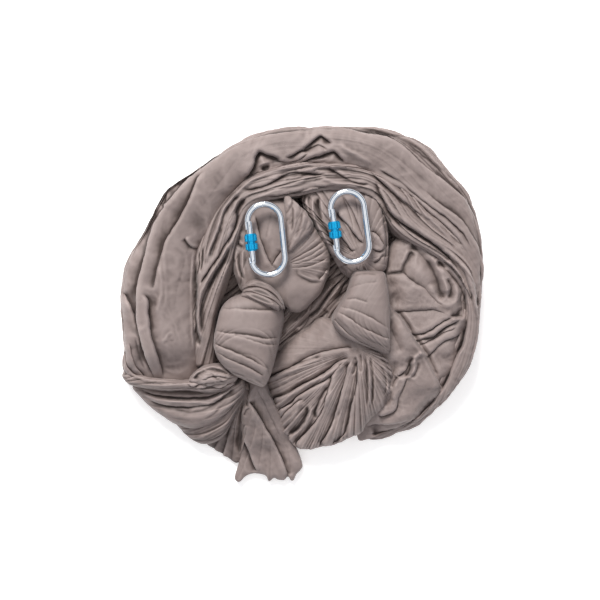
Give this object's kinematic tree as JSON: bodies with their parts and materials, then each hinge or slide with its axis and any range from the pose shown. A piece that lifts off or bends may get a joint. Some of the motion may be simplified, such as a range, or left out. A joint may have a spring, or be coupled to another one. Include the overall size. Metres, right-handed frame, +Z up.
{
  "type": "aerial hammock",
  "caption": "Knotted cloth hammock coiled in a flat pile, with oval screw-gate carabiners lying on the loops of its ends.",
  "frame": {"origin": "middle of the pile's footprint, on the surface that it lies on", "axes": "+Z up, +Y from the tails towards the carabiners' noses, +X from the left ring to the right ring"},
  "size_m": [0.535, 0.528, 0.122],
  "materials": {
    "tricot": "satin",
    "polished_steel": "polished",
    "rivet_steel": "satin",
    "spring_steel": "satin",
    "blue_anodised": "satin"
  },
  "bodies": {
    "sling": {"cloth_outer_turn": "tricot", "cloth_inner_turn": "tricot", "cloth_core": "tricot", "cloth_left_gather": "tricot", "cloth_left_knot": "tricot", "cloth_left_loop": "tricot", "cloth_short_tail": "tricot", "cloth_long_tail": "tricot", "cloth_right_gather": "tricot", "cloth_right_knot": "tricot", "cloth_right_loop": "tricot", "cloth_right_drape": "tricot"},
    "carabiner_left": {"carabiner_left_frame": "polished_steel"},
    "gate_left": {"carabiner_left_gate": "polished_steel", "carabiner_left_hinge_rivet": "rivet_steel", "carabiner_left_latch_pin": "rivet_steel", "carabiner_left_gate_spring": "spring_steel"},
    "plunger_left": {"carabiner_left_gate_plunger": "rivet_steel"},
    "sleeve_left": {"carabiner_left_lock_sleeve": "blue_anodised"},
    "carabiner_right": {"carabiner_right_frame": "polished_steel"},
    "gate_right": {"carabiner_right_gate": "polished_steel", "carabiner_right_hinge_rivet": "rivet_steel", "carabiner_right_latch_pin": "rivet_steel", "carabiner_right_gate_spring": "spring_steel"},
    "plunger_right": {"carabiner_right_gate_plunger": "rivet_steel"},
    "sleeve_right": {"carabiner_right_lock_sleeve": "blue_anodised"}
  },
  "joints": [
    {"name": "carabiner_left_lift", "type": "slide", "parent": "sling", "child": "carabiner_left", "axis": [0, 0, 1], "range_m": [0, 0.15]},
    {"name": "gate_left_hinge", "type": "hinge", "parent": "carabiner_left", "child": "gate_left", "pos_m": [-0.0697, 0.06445, 0.1051], "axis": [0, 0, -1], "range_deg": [0, 24], "stiffness_Nm_per_rad": 0.6, "springref_deg": -33.23},
    {"name": "plunger_left_slide", "type": "slide", "parent": "gate_left", "child": "plunger_left", "axis": [-0.1045, 0.9945, 0], "range_m": [0, 0.0008], "deforming": ["carabiner_left_gate_spring"]},
    {"name": "sleeve_left_screw", "type": "slide", "parent": "gate_left", "child": "sleeve_left", "axis": [-0.1045, 0.9945, 0], "range_m": [-0.008, 0.012]},
    {"name": "carabiner_right_lift", "type": "slide", "parent": "sling", "child": "carabiner_right", "axis": [0, 0, 1], "range_m": [0, 0.15]},
    {"name": "gate_right_hinge", "type": "hinge", "parent": "carabiner_right", "child": "gate_right", "pos_m": [0.05221, 0.08246, 0.1051], "axis": [0, 0, -1], "range_deg": [0, 24], "stiffness_Nm_per_rad": 0.6, "springref_deg": -33.23},
    {"name": "plunger_right_slide", "type": "slide", "parent": "gate_right", "child": "plunger_right", "axis": [-0.1305, 0.9914, 0], "range_m": [0, 0.0008], "deforming": ["carabiner_right_gate_spring"]},
    {"name": "sleeve_right_screw", "type": "slide", "parent": "gate_right", "child": "sleeve_right", "axis": [-0.1305, 0.9914, 0], "range_m": [-0.008, 0.012]}
  ],
  "couplings": [
    {"joint": "plunger_left_slide", "follows": "gate_left_hinge", "m_per_rad": 0.00145},
    {"joint": "plunger_right_slide", "follows": "gate_right_hinge", "m_per_rad": 0.00145}
  ]
}
